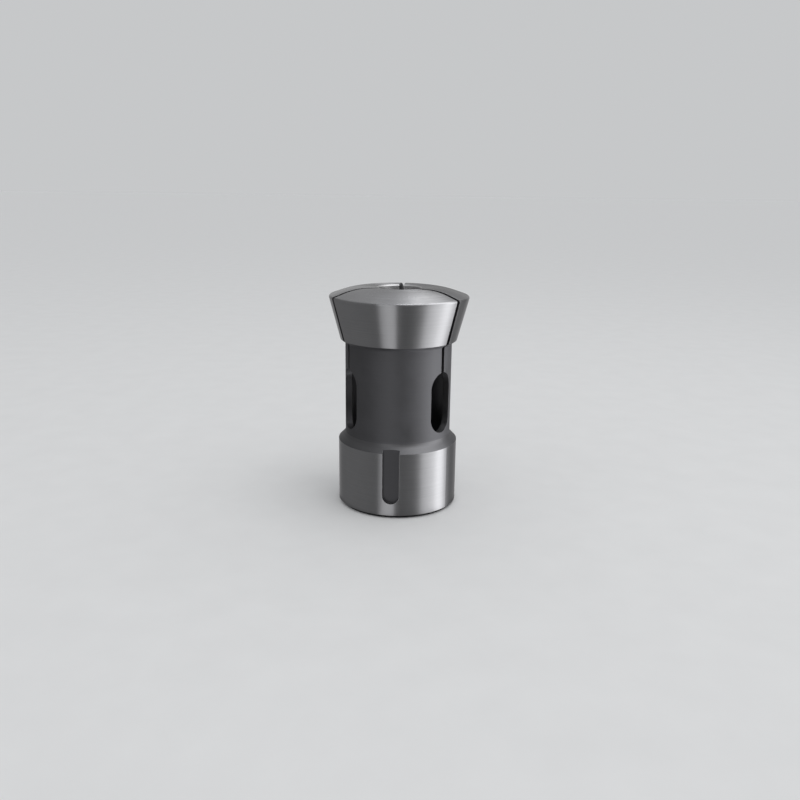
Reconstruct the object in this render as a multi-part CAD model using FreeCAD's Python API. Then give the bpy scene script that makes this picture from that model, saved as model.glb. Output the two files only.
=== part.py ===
import FreeCAD, Part
import math
import os
from FreeCAD import Vector

# Spring collet for a lathe spindle: turned from one bar of spring steel, slit into three
# jaws, hardened and ground. The axis is +Z with the head on top, the origin is the centre
# of the rear face, and the keyway faces -Y. Sizes are in millimetres, angles in degrees.

# Rear guide, a ground cylinder that runs in the spindle sleeve
guide_diameter = 51.6
guide_length = 28.2          # rear face to the foot of the shoulder
guide_chamfer = 1.2          # outer edge of the rear face

# Body, relieved from the guide so that the jaws can flex
body_relief = 3.0            # radial step from the guide down to the body
body_length = 44.1           # foot of the shoulder to the foot of the clamping cone
body_wall = 2.8              # thin spring wall beside the windows
shoulder_angle = 45.0        # slope of the shoulder between guide and body
shoulder_fillet = 3.2        # concave round from the shoulder into the body

# Head with the clamping cone
head_step = 2.1              # radial step from the body out to the foot of the cone
taper_angle = 15.0           # half angle of the clamping cone
taper_length = 18.3          # clamping cone along the axis
underside_angle = 35.0       # slope of the underside of the head
underside_fillet = 1.0       # concave round from the body into the underside
rim_round = 0.9              # edge between the clamping cone and the nose face
nose_angle = 19.0            # slope of the outer part of the crowned nose face
nose_flat = 10.4             # level part of the nose face, outwards from the lip
nose_blend = 31.0            # wide round between the level and the sloped part

# Bore
grip_diameter = 18.0         # closes on the bar stock
grip_length = 22.0           # along the axis, from the lip
grip_chamfer = 0.5           # lip of the grip bore
step_angle = 60.0            # half angle of the cone between the grip and the clearance bore
mouth_chamfer = 1.2          # rear mouth of the clearance bore

# Slits, each from the nose face down into a window
jaw_count = 3
slit_width = 2.0
window_width = 13.2
window_length = 26.0
window_gap = 6.1             # foot of the shoulder to the lower end of a window

# Keyway in the guide, in line with the middle of a jaw, run out over the shoulder
key_width = 7.0
key_depth = 1.6
key_end = 6.3                # rear face to the round lower end of the keyway

# Reach of a cutter past the metal that it cuts
overrun = 2.0

# Radii and heights that follow from the sizes above
guide_r = guide_diameter / 2.0
body_r = guide_r - body_relief
bore_r = body_r - body_wall
grip_r = grip_diameter / 2.0
lip_r = grip_r + grip_chamfer
flat_r = lip_r + nose_flat
foot_r = body_r + head_step
rim_r = foot_r + taper_length * math.tan(math.radians(taper_angle))

shoulder_z = guide_length + body_relief / math.tan(math.radians(shoulder_angle))
foot_z = guide_length + body_length
underside_z = foot_z - head_step * math.tan(math.radians(underside_angle))
rim_z = foot_z + taper_length
nose_z = rim_z + (rim_r - flat_r) * math.tan(math.radians(nose_angle))
step_top_z = nose_z - grip_length
step_foot_z = step_top_z - (bore_r - grip_r) / math.tan(math.radians(step_angle))


def half_section():
    """Corners of the turned section as (radius, height, round), anticlockwise."""
    return [
        (bore_r + mouth_chamfer, 0.0, 0.0),
        (guide_r - guide_chamfer, 0.0, 0.0),
        (guide_r, guide_chamfer, 0.0),
        (guide_r, guide_length, 0.0),
        (body_r, shoulder_z, shoulder_fillet),
        (body_r, underside_z, underside_fillet),
        (foot_r, foot_z, 0.0),
        (rim_r, rim_z, rim_round),
        (flat_r, nose_z, nose_blend),
        (lip_r, nose_z, 0.0),
        (grip_r, nose_z - grip_chamfer, 0.0),
        (grip_r, step_top_z, 0.0),
        (bore_r, step_foot_z, 0.0),
        (bore_r, mouth_chamfer, 0.0),
    ]


def corner_arc(before, corner, after, radius):
    """Arc that rounds a corner. It takes up at most half of the shorter side."""
    back = before - corner
    ahead = after - corner
    half_angle = back.getAngle(ahead) / 2.0
    shorter = min(back.Length, ahead.Length)
    reach = min(radius / math.tan(half_angle), shorter / 2.0)
    radius = reach * math.tan(half_angle)
    back.normalize()
    ahead.normalize()
    inward = (back + ahead).normalize()
    middle = corner + inward * (radius / math.sin(half_angle) - radius)
    return Part.Arc(corner + back * reach, middle, corner + ahead * reach).toShape()


def profile_face(section):
    """Face in the XZ plane bounded by the section, with its rounds as true arcs."""
    points = [Vector(radius, 0.0, height) for radius, height, _ in section]
    pieces = []
    for index, (_, _, round_radius) in enumerate(section):
        after = points[(index + 1) % len(points)]
        if round_radius > 0.0:
            pieces.append(corner_arc(points[index - 1], points[index], after, round_radius))
        else:
            pieces.append(Part.Vertex(points[index]))
    edges = []
    for index, piece in enumerate(pieces):
        following = pieces[(index + 1) % len(pieces)]
        edges.extend(piece.Edges)
        edges.append(Part.makeLine(piece.Vertexes[-1].Point, following.Vertexes[0].Point))
    return Part.Face(Part.Wire(edges))


def turn_about_axis(shape, angle):
    shape.rotate(Vector(0, 0, 0), Vector(0, 0, 1), angle)
    return shape


def turned_blank():
    """The collet as it leaves the lathe, with the seam of its faces where a slit will be."""
    blank = profile_face(half_section()).revolve(Vector(0, 0, 0), Vector(0, 0, 1), 360.0)
    return turn_about_axis(blank, 180.0 / jaw_count - 90.0)


def obround_cutter(width, bottom, top, inner, outer):
    """Upright slot with round ends, cut radially between two radii on the -Y side."""
    end_r = width / 2.0
    side = Vector(end_r, 0.0, 0.0)
    rise = Vector(0.0, 0.0, end_r)
    low = Vector(0.0, -inner, bottom + end_r)
    high = Vector(0.0, -inner, top - end_r)
    outline = Part.Wire([
        Part.makeLine(low + side, high + side),
        Part.Arc(high + side, high + rise, high - side).toShape(),
        Part.makeLine(high - side, low - side),
        Part.Arc(low - side, low - rise, low + side).toShape(),
    ])
    return Part.Face(outline).extrude(Vector(0.0, inner - outer, 0.0))


def slit_cutter():
    """One slit through nose, head and body wall, with the window that it ends in."""
    outer = rim_r + overrun
    window_foot = guide_length + window_gap
    window_top = window_foot + window_length
    slit_foot = window_top - window_width / 2.0
    window = obround_cutter(window_width, window_foot, window_top, 0.0, outer)
    corner = Vector(-slit_width / 2.0, -outer, slit_foot)
    slit = Part.makeBox(slit_width, outer, nose_z + overrun - slit_foot, corner)
    return window.fuse(slit)


def slit_cutters():
    """All slits, evenly spaced, with the keyway midway between two of them."""
    pitch = 360.0 / jaw_count
    return [turn_about_axis(slit_cutter(), (index + 0.5) * pitch) for index in range(jaw_count)]


def keyway_cutter():
    """Flat-bottomed keyway, round at the rear and open where it meets the shoulder."""
    floor = guide_r - key_depth
    top = shoulder_z + key_width
    return obround_cutter(key_width, key_end, top, floor, guide_r + overrun)


def spring_collet():
    return turned_blank().cut(slit_cutters() + [keyway_cutter()])


os.makedirs("parts", exist_ok=True)
collet = spring_collet()
collet.exportStep("parts/spring_collet.step")
print(f"spring_collet: {len(collet.Solids)} solid, rim {2 * rim_r:.2f} mm, length {nose_z:.2f} mm")
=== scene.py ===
import math
from collections import namedtuple

import bpy
from mathutils import Matrix, Vector

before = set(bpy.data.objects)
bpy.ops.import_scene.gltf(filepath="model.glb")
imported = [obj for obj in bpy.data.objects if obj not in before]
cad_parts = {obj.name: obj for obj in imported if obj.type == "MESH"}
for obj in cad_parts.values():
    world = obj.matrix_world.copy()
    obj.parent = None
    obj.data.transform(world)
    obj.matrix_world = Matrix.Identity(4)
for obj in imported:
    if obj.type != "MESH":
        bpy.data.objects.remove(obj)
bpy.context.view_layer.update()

# Looks of a lathe spring collet: one solid of spring steel whose faces have eight machined
# finishes, two of them with painted shade in their dark tone and one lightened as a painted highlight, in
# a pale studio. Places and sizes are in metres and angles in degrees, in the part's own frame: the axis is
# +Z with the head on top, and the keyway faces -Y.

MM = 0.001
NODE = "spring_collet"

# Camera, where it stood for the photograph
CAMERA_DISTANCE = 338.1 * MM       # from the collet's axis
CAMERA_HEIGHT = 133.4 * MM
CAMERA_AZIMUTH = 6.04              # to the right of the keyway
CAMERA_YAW = 5.89                  # turned back towards the axis
CAMERA_PITCH = 14.69               # down
CAMERA_ROLL = 0.72
CAMERA_LENS = 36.0                 # millimetres, with a sensor as wide
CAMERA_SENSOR = 36.0
CAMERA_CLIP = (0.01, 20.0)         # nearest and farthest that it sees

# Floor and world
FLOOR_TONE = 0.80
FLOOR_HALF_SIDE = 30.0
FLOOR_DROP = 0.02 * MM             # keeps the floor clear of the rear face
FLOOR_GRAIN = 60.0                 # noise scale
FLOOR_VARIATION = 0.03
FLOOR_ROUGHNESS = 0.9
FLOOR_SPECULAR = 0.2
WORLD_LIGHT = 0.72
WORLD_TINT = (0.985, 1.0, 1.015, 1.0)

# Softbox above the collet, on the camera's right
SOFTBOX_AZIMUTH = 60.0
SOFTBOX_DISTANCE = 0.25
SOFTBOX_HEIGHT = 0.80
SOFTBOX_SIDE = 0.45
SOFTBOX_RADIANCE = 1.6
SOFTBOX_AIM = Vector((0.0, 0.0, 0.05))

# Paper around the collet that only reflections see, between rings of (radius, height)
BAND_STEPS = 180
TENT_WALL = [(110.0 * MM, -320.0 * MM), (110.0 * MM, 320.0 * MM)]
TENT_SEAM = (135.0 * MM, 215.0 * MM)     # heights over which the lower paper becomes the upper
TENT_PEAK = 2.0                          # strength that no glow below goes past
# Near-black ring of painted shade on the floor under the collet's lower edge, which only reflections see
CONTACT_SHADE_RING = [(20.0 * MM, 0.05 * MM), (27.5 * MM, 0.05 * MM)]
CONTACT_SHADE_GLOW = 0.02

# Glow of the tent's two papers: azimuth to the right of the camera's side, and strength
LOWER_GLOW = [
    (-180, 0.30), (-165, 0.37), (-150, 0.35), (-125, 0.15), (-104, 0.17), (-60, 0.165), (-41, 0.155),
    (-33, 0.16), (-28, 0.54), (-15, 0.62), (-7, 0.55), (-2, 0.16), (8, 0.11), (28, 0.12), (37, 0.20),
    (45, 0.62), (57, 0.89), (67, 1.08), (77, 1.76), (89, 1.75), (96, 0.75), (104, 0.28), (112, 0.18),
    (128, 0.17), (138, 0.30), (150, 0.30), (165, 0.25), (180, 0.28),
]
UPPER_GLOW = [
    (-180, 0.58), (-172, 0.46), (-152, 0.44), (-100, 0.32), (-10, 0.32), (30, 0.55), (60, 1.50),
    (75, 1.95), (105, 1.95), (122, 0.95), (138, 0.80), (147, 0.50), (153, 0.95), (158, 1.55),
    (166, 1.18), (171, 0.80), (177, 0.62),
]

# Limits between the finishes: heights and radii, then parts of a face's unit normal
CHAMFER_TOP = 1.1 * MM             # the chamfer of the rear face, which takes the dark cut finish as painted shade
GUIDE_TOP = 28.3 * MM
SHOULDER_TOP = 32.6 * MM
HEAD_FOOT = 72.25 * MM
GRIP_RADIUS = 9.6 * MM             # the grip bore and its lip lie within it
BODY_RADIUS = 22.8 * MM            # the bore lies within it, the cone outside it
GUIDE_SKIN = 24.8 * MM             # between the keyway's floor and the ground surface
CUT_SIDEWAYS = 0.02                # along the turn, where no turned face points
FACING_OUTWARD = 0.3
NOSE_UPWARD = 0.5
SHOULDER_UPWARD = 0.2

# Tool marks: noise scale along the turn and across it, detail and roughness of the noise
FINE_MARKS = (0.8, 5200.0, 3.0, 0.6)
COARSE_MARKS = (2.6, 900.0, 2.0, 0.5)
MARKS_OVER_NOSE = 0.83             # share of the radius that counts across the marks
CLOUD_SCALE = 95.0
SPECK_SCALE = 1400.0

# Worn edges: the cosine between the softened and the plain normal, on an edge and off it
EDGE_RADIUS = 0.22 * MM
EDGE_SAMPLES = 6
EDGE_COSINES = (0.80, 0.995)
EDGE_BRIGHTNESS = 1.12

# What marks, clouds and specks do to colour, roughness and height, over a span of their noise
MARK_SPAN = (0.2, 0.8)
CLOUD_SPAN = (0.25, 0.75)
CLOUD_ROUGH_SPAN = (0.2, 0.8)
SPECK_SPAN = (0.6, 0.8)
MARK_TONE = 0.10
MARK_ROUGHNESS = 0.03
SPECK_ROUGHNESS = 0.04
FINE_HEIGHT = 0.6
COARSE_HEIGHT = 0.4
SPECK_HEIGHT = 0.3
BUMP_STRENGTH = 0.10
BUMP_DISTANCE = 0.012 * MM
ACROSS_THE_MARKS = 0.25            # of a turn, so that reflections smear across the marks

Finish = namedtuple("Finish", "name colour roughness anisotropy marks mottling")
FINISHES = [
    Finish("ground_steel", (0.535, 0.537, 0.555), 0.31, 1.0, 1.0, 0.05),
    Finish("faced_steel", (0.535, 0.537, 0.555), 0.25, 1.0, 1.0, 0.05),
    Finish("satin_steel", (0.235, 0.236, 0.250), 0.66, 0.30, 0.5, 0.15),
    Finish("turned_steel", (0.255, 0.256, 0.268), 0.52, 0.40, 0.8, 0.08),
    # Cut walls of the slits and windows, and the rear chamfer: a cut finish, darkened as painted shade in
    # the slits and along the lower edge
    Finish("cut_steel_and_shade", (0.20, 0.20, 0.21), 0.50, 0.0, 0.4, 0.12),
    Finish("milled_steel", (0.145, 0.145, 0.155), 0.50, 0.0, 0.4, 0.10),
    # The bore, darker than the satin body outside as painted shade inside it
    Finish("bored_steel_and_shade", (0.12, 0.12, 0.13), 0.50, 0.0, 0.4, 0.10),
    # The honed grip bore and its lip, lighter than the ground steel as a painted highlight on the bore's
    # far wall
    Finish("honed_steel_painted_highlight", (0.69, 0.69, 0.70), 0.46, 0.0, 0.6, 0.05),
]
GROUND, FACED, SATIN, TURNED, CUT_AND_SHADE, MILLED, BORED_AND_SHADE, HONED_PAINTED_HIGHLIGHT = range(len(FINISHES))


# Nodes of materials and of the world

class Nodes:
    """Short way to add and join the nodes of one material or world."""

    def __init__(self, tree):
        self.tree = tree
        self.tree.nodes.clear()

    def add(self, kind, settings=None, **inputs):
        node = self.tree.nodes.new(kind)
        for name, value in (settings or {}).items():
            setattr(node, name, value)
        for name, value in inputs.items():
            self.feed(node.inputs[name.replace("_", " ")], value)
        return node

    def feed(self, socket, value):
        if isinstance(value, bpy.types.NodeSocket):
            self.tree.links.new(value, socket)
        else:
            socket.default_value = value

    def feed_in_order(self, node, values):
        for socket, value in zip(node.inputs, values):
            self.feed(socket, value)

    def math(self, operation, *values):
        node = self.add("ShaderNodeMath", {"operation": operation})
        self.feed_in_order(node, values)
        return node.outputs[0]

    def dot(self, *vectors):
        node = self.add("ShaderNodeVectorMath", {"operation": "DOT_PRODUCT"})
        self.feed_in_order(node, vectors)
        return node.outputs["Value"]

    def combine(self, x, y, z):
        return self.add("ShaderNodeCombineXYZ", X=x, Y=y, Z=z).outputs[0]

    def colour(self, red, green, blue):
        return self.add("ShaderNodeCombineColor", Red=red, Green=green, Blue=blue).outputs[0]

    def noise(self, vector, scale, detail, roughness=0.5):
        node = self.add("ShaderNodeTexNoise", Vector=vector, Scale=scale, Detail=detail,
                        Roughness=roughness)
        return node.outputs["Fac"]

    def span(self, value, low, high, to_low=0.0, to_high=1.0):
        node = self.add("ShaderNodeMapRange", {"clamp": True})
        self.feed_in_order(node, (value, low, high, to_low, to_high))
        return node.outputs[0]

    def mix_colour(self, factor, first, second):
        node = self.add("ShaderNodeMix", {"data_type": "RGBA", "clamp_factor": True})
        colour_inputs = (node.inputs[6], node.inputs[7])
        self.feed(node.inputs[0], factor)
        for socket, value in zip(colour_inputs, (first, second)):
            self.feed(socket, value)
        return node.outputs[2]

    def ramp(self, value, stops):
        node = self.add("ShaderNodeValToRGB", Fac=value)
        while len(node.color_ramp.elements) < len(stops):
            node.color_ramp.elements.new(0.5)
        for element, (place, level) in zip(node.color_ramp.elements, stops):
            element.position = place
            element.color = (level, level, level, 1.0)
        return node.outputs[0]

    def output(self, shader, kind="ShaderNodeOutputMaterial"):
        self.feed(self.add(kind).inputs["Surface"], shader.outputs[0])


def new_material(name):
    material = bpy.data.materials.new(name)
    material.use_nodes = True
    return material, Nodes(material.node_tree)


# Camera

def look_from_the_photograph():
    azimuth = math.radians(CAMERA_AZIMUTH)
    yaw = math.radians(CAMERA_YAW)
    pitch = math.radians(CAMERA_PITCH)
    roll = math.radians(CAMERA_ROLL)
    data = bpy.data.cameras.new("photo_camera")
    data.lens = CAMERA_LENS
    data.sensor_width = CAMERA_SENSOR
    data.clip_start, data.clip_end = CAMERA_CLIP
    camera = bpy.data.objects.new("photo_camera", data)
    level = math.cos(pitch)
    forward = Vector((-math.sin(yaw) * level, math.cos(yaw) * level, -math.sin(pitch)))
    right = forward.cross(Vector((0, 0, 1))).normalized()
    up = right.cross(forward)
    rolled_right = right * math.cos(roll) + up * math.sin(roll)
    rolled_up = up * math.cos(roll) - right * math.sin(roll)
    stand = Matrix((rolled_right, rolled_up, -forward)).transposed().to_4x4()
    stand.translation = Vector((
        CAMERA_DISTANCE * math.sin(azimuth), -CAMERA_DISTANCE * math.cos(azimuth), CAMERA_HEIGHT))
    camera.matrix_world = stand
    bpy.context.scene.collection.objects.link(camera)
    bpy.context.scene.camera = camera


# Studio

def around(azimuth, distance, height):
    """A place seen from the axis: azimuth in degrees to the right of the camera's side."""
    angle = math.radians(azimuth + CAMERA_AZIMUTH)
    return Vector((distance * math.sin(angle), -distance * math.cos(angle), height))


def overhead_softbox():
    data = bpy.data.lights.new("overhead", "AREA")
    data.shape = "RECTANGLE"
    data.size = SOFTBOX_SIDE
    data.size_y = SOFTBOX_SIDE
    data.energy = SOFTBOX_RADIANCE * math.pi * SOFTBOX_SIDE ** 2
    lamp = bpy.data.objects.new("overhead", data)
    lamp.location = around(SOFTBOX_AZIMUTH, SOFTBOX_DISTANCE, SOFTBOX_HEIGHT)
    lamp.rotation_euler = (SOFTBOX_AIM - lamp.location).to_track_quat("-Z", "Y").to_euler()
    bpy.context.scene.collection.objects.link(lamp)


def floor_paint():
    """Matt and pale, with a faint grain."""
    material, nodes = new_material("pale_floor")
    position = nodes.add("ShaderNodeTexCoord").outputs["Object"]
    grain = nodes.noise(position, FLOOR_GRAIN, detail=3.0)
    darkest = FLOOR_TONE * (1.0 - FLOOR_VARIATION)
    lightest = FLOOR_TONE * (1.0 + FLOOR_VARIATION)
    tone = nodes.span(grain, 0.0, 1.0, darkest, lightest)
    shader = nodes.add("ShaderNodeBsdfPrincipled", Base_Color=nodes.colour(tone, tone, tone),
                       Roughness=FLOOR_ROUGHNESS)
    shader.inputs["Specular IOR Level"].default_value = FLOOR_SPECULAR
    nodes.output(shader)
    return material


def floor():
    """A wide plain floor. The metal reflects the paper and the world in its place."""
    mesh = bpy.data.meshes.new("floor")
    corners = [(-1, -1), (1, -1), (1, 1), (-1, 1)]
    points = [(x * FLOOR_HALF_SIDE, y * FLOOR_HALF_SIDE, 0) for x, y in corners]
    mesh.from_pydata(points, [], [(0, 1, 2, 3)])
    mesh.materials.append(floor_paint())
    plane = bpy.data.objects.new("floor", mesh)
    plane.location.z = -FLOOR_DROP
    plane.visible_glossy = False
    bpy.context.scene.collection.objects.link(plane)


def pale_world():
    """Even light, seen by the eye and in the metal as a backdrop of the far floor's tone."""
    world = bpy.data.worlds.new("studio")
    bpy.context.scene.world = world
    world.use_nodes = True
    nodes = Nodes(world.node_tree)
    lighting = nodes.add("ShaderNodeBackground", Color=WORLD_TINT, Strength=WORLD_LIGHT)
    backdrop = nodes.add("ShaderNodeBackground", Color=WORLD_TINT, Strength=WORLD_LIGHT * FLOOR_TONE)
    path = nodes.add("ShaderNodeLightPath")
    seen = nodes.math("MAXIMUM", path.outputs["Is Camera Ray"], path.outputs["Is Transmission Ray"])
    seen = nodes.math("MAXIMUM", seen, path.outputs["Is Glossy Ray"])
    mixed = nodes.add("ShaderNodeMixShader", Fac=seen)
    nodes.feed(mixed.inputs[1], lighting.outputs[0])
    nodes.feed(mixed.inputs[2], backdrop.outputs[0])
    nodes.output(mixed, "ShaderNodeOutputWorld")


def paper_band(name, rings, material):
    """Paper between two rings around the collet, which only reflections see."""
    points = [around(index * 360.0 / BAND_STEPS, radius, height)
              for radius, height in rings for index in range(BAND_STEPS)]
    faces = []
    for index in range(BAND_STEPS):
        following = (index + 1) % BAND_STEPS
        faces.append((index, following, BAND_STEPS + following, BAND_STEPS + index))
    mesh = bpy.data.meshes.new(name)
    mesh.from_pydata(points, [], faces)
    mesh.materials.append(material)
    band = bpy.data.objects.new(name, mesh)
    bpy.context.scene.collection.objects.link(band)
    band.visible_camera = False
    band.visible_shadow = False
    band.visible_diffuse = False


def painted_contact_shade():
    """Near-black painted shade, standing in for the collet's shade on the floor in the narrow gap under
    its lower edge.
    """
    material, nodes = new_material("painted_contact_shade")
    nodes.output(nodes.add("ShaderNodeEmission", Strength=CONTACT_SHADE_GLOW))
    return material


def tent_paper():
    """White and grey papers, whose glow changes with the azimuth and between two heights."""
    material, nodes = new_material("tent_paper")
    position = nodes.add("ShaderNodeTexCoord").outputs["Object"]
    x, y, z = nodes.add("ShaderNodeSeparateXYZ", Vector=position).outputs
    angle = nodes.math("ARCTAN2", x, nodes.math("MULTIPLY", y, -1.0))
    share_of_turn = nodes.math("DIVIDE", angle, math.tau)
    start = (CAMERA_AZIMUTH - 180.0) / 360.0
    turn = nodes.math("FRACT", nodes.math("SUBTRACT", share_of_turn, start))
    lower, upper = [
        nodes.ramp(turn, [((azimuth + 180.0) / 360.0, strength / TENT_PEAK) for azimuth, strength in glow])
        for glow in (LOWER_GLOW, UPPER_GLOW)]
    level = nodes.mix_colour(nodes.span(z, *TENT_SEAM), lower, upper)
    nodes.output(nodes.add("ShaderNodeEmission", Color=level, Strength=TENT_PEAK))
    return material


def studio():
    floor()
    pale_world()
    paper_band("light_tent", TENT_WALL, tent_paper())
    # painted shade under the collet's lower edge, seen only in reflections
    paper_band("contact_shade_ring", CONTACT_SHADE_RING, painted_contact_shade())
    overhead_softbox()


# Steel

def tool_marks(nodes, position):
    """Fine and coarse marks, stretched along the turn as a tool or a wheel leaves them."""
    x, y, z = nodes.add("ShaderNodeSeparateXYZ", Vector=position).outputs
    square = nodes.math("ADD", nodes.math("MULTIPLY", x, x), nodes.math("MULTIPLY", y, y))
    radius = nodes.math("SQRT", square)
    unit_x = nodes.math("DIVIDE", x, radius)
    unit_y = nodes.math("DIVIDE", y, radius)
    across = nodes.math("ADD", z, nodes.math("MULTIPLY", radius, MARKS_OVER_NOSE))
    marks = []
    for along_scale, across_scale, detail, roughness in (FINE_MARKS, COARSE_MARKS):
        place = nodes.combine(nodes.math("MULTIPLY", unit_x, along_scale),
                              nodes.math("MULTIPLY", unit_y, along_scale),
                              nodes.math("MULTIPLY", across, across_scale))
        marks.append(nodes.noise(place, 1.0, detail, roughness))
    return marks


def worn_edges(nodes):
    """A normal that softens the edges, and how much a place is an edge, from 0 to 1."""
    bevel = nodes.add("ShaderNodeBevel", {"samples": EDGE_SAMPLES}, Radius=EDGE_RADIUS)
    soft_normal = bevel.outputs[0]
    plain_normal = nodes.add("ShaderNodeNewGeometry").outputs["Normal"]
    return soft_normal, nodes.span(nodes.dot(soft_normal, plain_normal), *EDGE_COSINES, 1.0, 0.0)


def steel(finish):
    """Machined spring steel, with marks, clouds, specks and edges brightened by handling."""
    material, nodes = new_material(finish.name)
    position = nodes.add("ShaderNodeTexCoord").outputs["Object"]
    fine, coarse = tool_marks(nodes, position)
    clouds = nodes.noise(position, CLOUD_SCALE, detail=4.0, roughness=0.55)
    specks = nodes.noise(position, SPECK_SCALE, detail=2.0, roughness=0.6)
    soft_normal, edge = worn_edges(nodes)

    mottled = (1.0 - finish.mottling, 1.0 + finish.mottling)
    mark_tone = MARK_TONE * finish.marks
    tone = nodes.span(clouds, *CLOUD_SPAN, *mottled)
    tone = nodes.math("MULTIPLY", tone, nodes.span(fine, *MARK_SPAN, 1.0 - mark_tone, 1.0 + mark_tone))
    tone = nodes.math("MULTIPLY", tone, nodes.span(edge, 0.0, 1.0, 1.0, EDGE_BRIGHTNESS))
    base = nodes.colour(*[nodes.math("MULTIPLY", tone, level) for level in finish.colour])

    mark_roughness = MARK_ROUGHNESS * finish.marks
    rough = nodes.span(clouds, *CLOUD_ROUGH_SPAN, *[finish.roughness * share for share in mottled])
    rough = nodes.math("ADD", rough, nodes.span(fine, *MARK_SPAN, -mark_roughness, mark_roughness))
    rough = nodes.math("ADD", rough, nodes.span(specks, *SPECK_SPAN, 0.0, SPECK_ROUGHNESS))

    speck_height = SPECK_HEIGHT * (1.0 - finish.marks)
    height = nodes.math("ADD", nodes.math("MULTIPLY", fine, FINE_HEIGHT),
                        nodes.math("MULTIPLY", coarse, COARSE_HEIGHT))
    height = nodes.math("ADD", height, nodes.math("MULTIPLY", specks, speck_height))
    bump = nodes.add("ShaderNodeBump", Strength=BUMP_STRENGTH, Distance=BUMP_DISTANCE,
                     Height=height, Normal=soft_normal)

    tangent = nodes.add("ShaderNodeTangent", {"direction_type": "RADIAL", "axis": "Z"})
    shader = nodes.add("ShaderNodeBsdfPrincipled", Base_Color=base, Metallic=1.0, Roughness=rough,
                       Normal=bump.outputs[0], Tangent=tangent.outputs[0])
    shader.inputs["Anisotropic"].default_value = finish.anisotropy
    shader.inputs["Anisotropic Rotation"].default_value = ACROSS_THE_MARKS
    nodes.output(shader)
    return material


def finish_of(centre, normal):
    """Which finish a face has, as its place in the list of finishes."""
    radius = math.hypot(centre.x, centre.y)
    outward = (centre.x * normal.x + centre.y * normal.y) / radius
    sideways = math.hypot(normal.x, normal.y) - abs(outward)
    # slit and window walls and the rear chamfer: cut, with painted shade in their dark tone
    if sideways > CUT_SIDEWAYS or (centre.z < CHAMFER_TOP and outward > FACING_OUTWARD):
        return CUT_AND_SHADE
    # the honed grip bore and its lip, lightened as a painted highlight
    if radius < GRIP_RADIUS:
        return HONED_PAINTED_HIGHLIGHT
    if centre.z > HEAD_FOOT and normal.z > NOSE_UPWARD:
        return FACED
    if centre.z > HEAD_FOOT and radius > BODY_RADIUS:
        return GROUND
    # faces of the bore, with painted shade in their darker tone
    if outward < -FACING_OUTWARD:
        return BORED_AND_SHADE
    if centre.z < GUIDE_TOP and outward > FACING_OUTWARD:
        return GROUND if radius > GUIDE_SKIN else MILLED
    if centre.z < SHOULDER_TOP and normal.z > SHOULDER_UPWARD:
        return TURNED
    return SATIN


def dress_collet():
    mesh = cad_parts[NODE].data
    mesh.materials.clear()
    for finish in FINISHES:
        mesh.materials.append(steel(finish))
    for polygon in mesh.polygons:
        polygon.material_index = finish_of(polygon.center, polygon.normal)


dress_collet()
studio()
look_from_the_photograph()
bpy.context.scene.view_settings.view_transform = "Standard"
